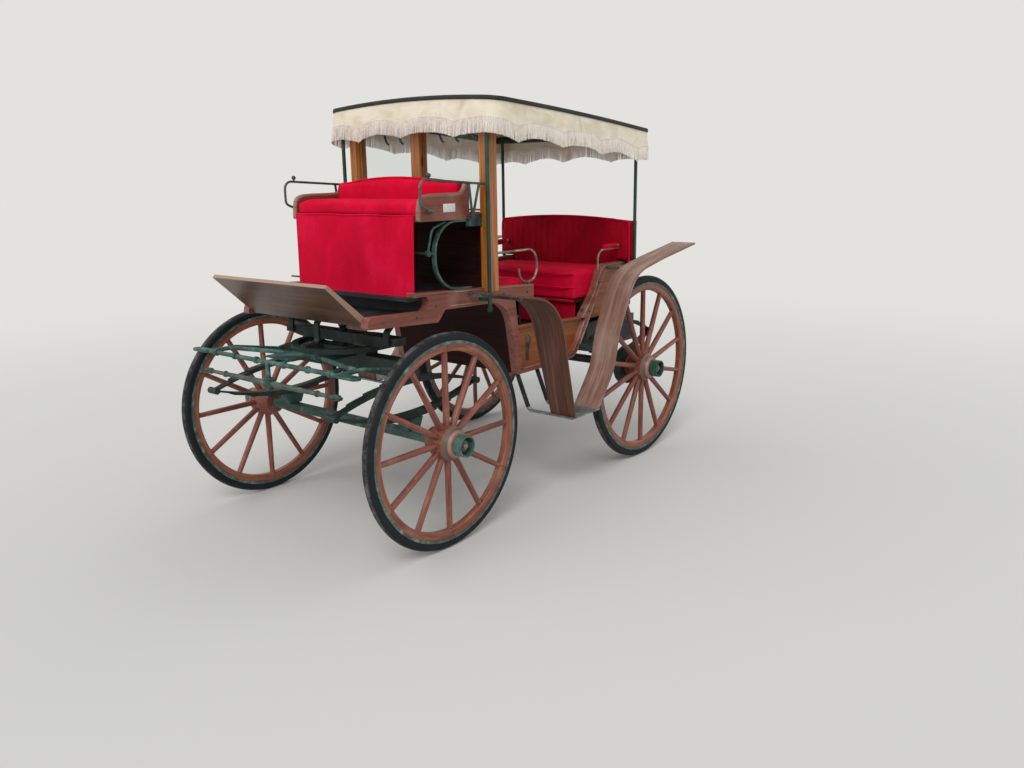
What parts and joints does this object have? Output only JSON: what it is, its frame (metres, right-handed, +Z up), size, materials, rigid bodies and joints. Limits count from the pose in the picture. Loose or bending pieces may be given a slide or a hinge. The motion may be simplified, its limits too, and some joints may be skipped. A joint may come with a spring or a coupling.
{
  "type": "horse drawn carriage",
  "caption": "Four-wheeled horse-drawn passenger carriage with a raised driver's seat, facing benches, mudguards and a fringed canopy on posts.",
  "frame": {"origin": "ground level at the centre of the carriage's outline, between the wheels", "axes": "+Z up, -Y towards the front and the splinter bar, +X to the carriage's left"},
  "size_m": [1.66, 2.8048, 2.0648],
  "materials": {
    "rubber_black": "matt",
    "paint_wheel_brown": "satin",
    "iron_dark_green": "satin",
    "iron_bright": "worn",
    "paint_body_brown": "satin",
    "paint_dark": "satin",
    "paint_grey": "satin",
    "wood_weathered": "weathered",
    "pine_varnished": "varnished",
    "glass_clear": "clear",
    "velvet_red": "soft",
    "canvas_cream": "soft"
  },
  "bodies": {
    "carriage_body": {"upper_turntable": "iron_dark_green", "king_bolt": "iron_dark_green", "spring_carriers": "iron_dark_green", "rear_axle": "iron_dark_green", "rear_springs": "iron_dark_green", "side_frames": "paint_body_brown", "floors": "paint_dark", "toe_board": "paint_body_brown", "well_walls": "paint_dark", "side_panels": "paint_body_brown", "rear_panel": "paint_body_brown", "rear_box": "paint_grey", "benches": "paint_dark", "front_bench_cushion": "velvet_red", "rear_bench_cushion": "velvet_red", "rear_bench_back": "velvet_red", "velvet_fall": "velvet_red", "bench_arms": "iron_bright", "arm_pads": "velvet_red", "partition_frame": "pine_varnished", "partition_glass": "glass_clear", "bulkhead": "paint_dark", "box_seat": "paint_body_brown", "box_cushion": "velvet_red", "box_back": "velvet_red", "box_apron": "velvet_red", "seat_irons": "iron_dark_green", "seat_rails": "iron_bright", "roof_frame": "iron_dark_green", "roof_cover": "canvas_cream", "valance": "canvas_cream", "canopy_posts": "iron_dark_green", "mudguards": "wood_weathered", "guard_irons": "iron_dark_green", "steps": "iron_bright"},
    "forecarriage": {"front_axle": "iron_dark_green", "front_springs": "iron_dark_green", "lower_turntable": "iron_dark_green", "splinter_bar": "iron_dark_green"},
    "whippletree": {"whippletree": "iron_dark_green"},
    "wheel_front_left": {"wheel_front_left_tyre": "rubber_black", "wheel_front_left_rim": "paint_wheel_brown", "wheel_front_left_hub": "paint_wheel_brown"},
    "wheel_front_right": {"wheel_front_right_tyre": "rubber_black", "wheel_front_right_rim": "paint_wheel_brown", "wheel_front_right_hub": "paint_wheel_brown"},
    "wheel_rear_left": {"wheel_rear_left_tyre": "rubber_black", "wheel_rear_left_rim": "paint_wheel_brown", "wheel_rear_left_hub": "paint_wheel_brown", "wheel_rear_left_drum": "paint_wheel_brown"},
    "wheel_rear_right": {"wheel_rear_right_tyre": "rubber_black", "wheel_rear_right_rim": "paint_wheel_brown", "wheel_rear_right_hub": "paint_wheel_brown", "wheel_rear_right_drum": "paint_wheel_brown"}
  },
  "joints": [
    {"name": "steering", "type": "hinge", "parent": "carriage_body", "child": "forecarriage", "pos_m": [0, -0.896, 0.85], "axis": [0, 0, 1], "range_deg": [-35, 35]},
    {"name": "whippletree_swing", "type": "hinge", "parent": "forecarriage", "child": "whippletree", "pos_m": [0, -1.349, 0.778], "axis": [0, 0, 1], "range_deg": [-20, 20]},
    {"name": "wheel_front_left_spin", "type": "hinge", "parent": "forecarriage", "child": "wheel_front_left", "pos_m": [0.675, -0.896, 0.507], "axis": [1, 0, 0], "continuous": true},
    {"name": "wheel_front_right_spin", "type": "hinge", "parent": "forecarriage", "child": "wheel_front_right", "pos_m": [-0.675, -0.896, 0.507], "axis": [1, 0, 0], "continuous": true},
    {"name": "wheel_rear_left_spin", "type": "hinge", "parent": "carriage_body", "child": "wheel_rear_left", "pos_m": [0.675, 0.852, 0.55], "axis": [1, 0, 0], "continuous": true},
    {"name": "wheel_rear_right_spin", "type": "hinge", "parent": "carriage_body", "child": "wheel_rear_right", "pos_m": [-0.675, 0.852, 0.55], "axis": [1, 0, 0], "continuous": true}
  ]
}
